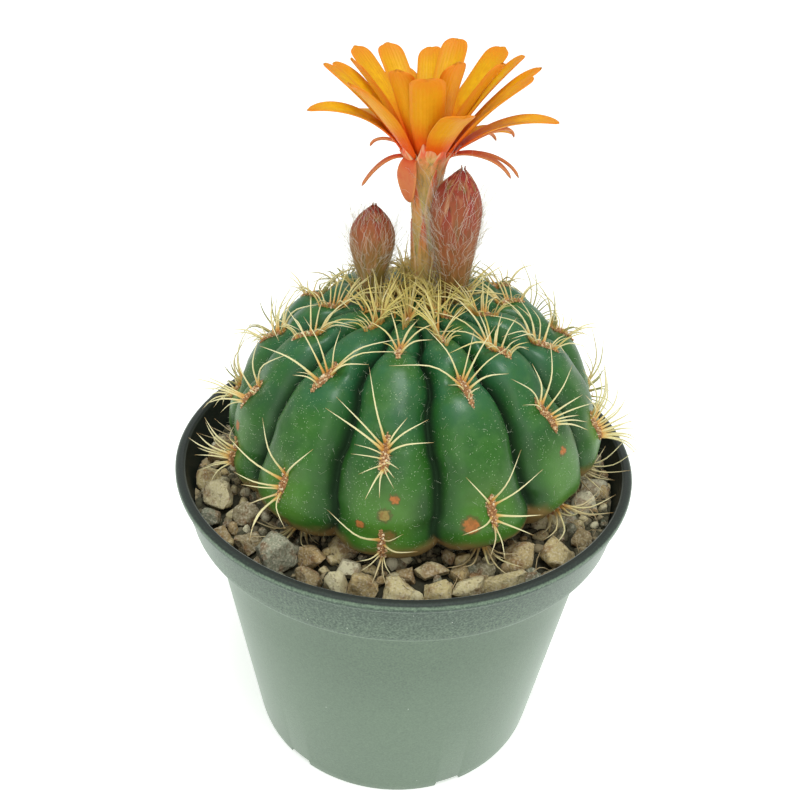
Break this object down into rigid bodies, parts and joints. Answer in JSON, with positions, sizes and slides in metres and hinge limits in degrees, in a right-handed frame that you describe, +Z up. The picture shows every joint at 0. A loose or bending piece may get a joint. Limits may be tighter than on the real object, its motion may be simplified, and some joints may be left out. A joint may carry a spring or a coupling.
{
  "type": "potted round cactus",
  "caption": "Round ribbed cactus with spines, an open flower and buds, growing in a gravel-topped plastic pot with a foot ring.",
  "frame": {"origin": "centre of the pot's foot, on the surface that the pot stands on", "axes": "+Z up along the pot's axis, -Y towards the picture's viewer, +X to the viewer's right"},
  "size_m": [0.12, 0.12, 0.1873],
  "materials": {
    "pot": "satin",
    "soil": "matte",
    "gravel": "matte",
    "cactus_skin": "satin",
    "flower_tube": "matte",
    "petal": "satin",
    "stamen": "matte",
    "bud": "matte"
  },
  "bodies": {
    "root": {"pot": "pot", "soil": "soil", "gravel": "gravel", "cactus_body": "cactus_skin", "flower_tube": "flower_tube", "flower_petals": "petal", "flower_stamens": "stamen", "bud_large": "bud", "bud_small": "bud"}
  },
  "joints": []
}
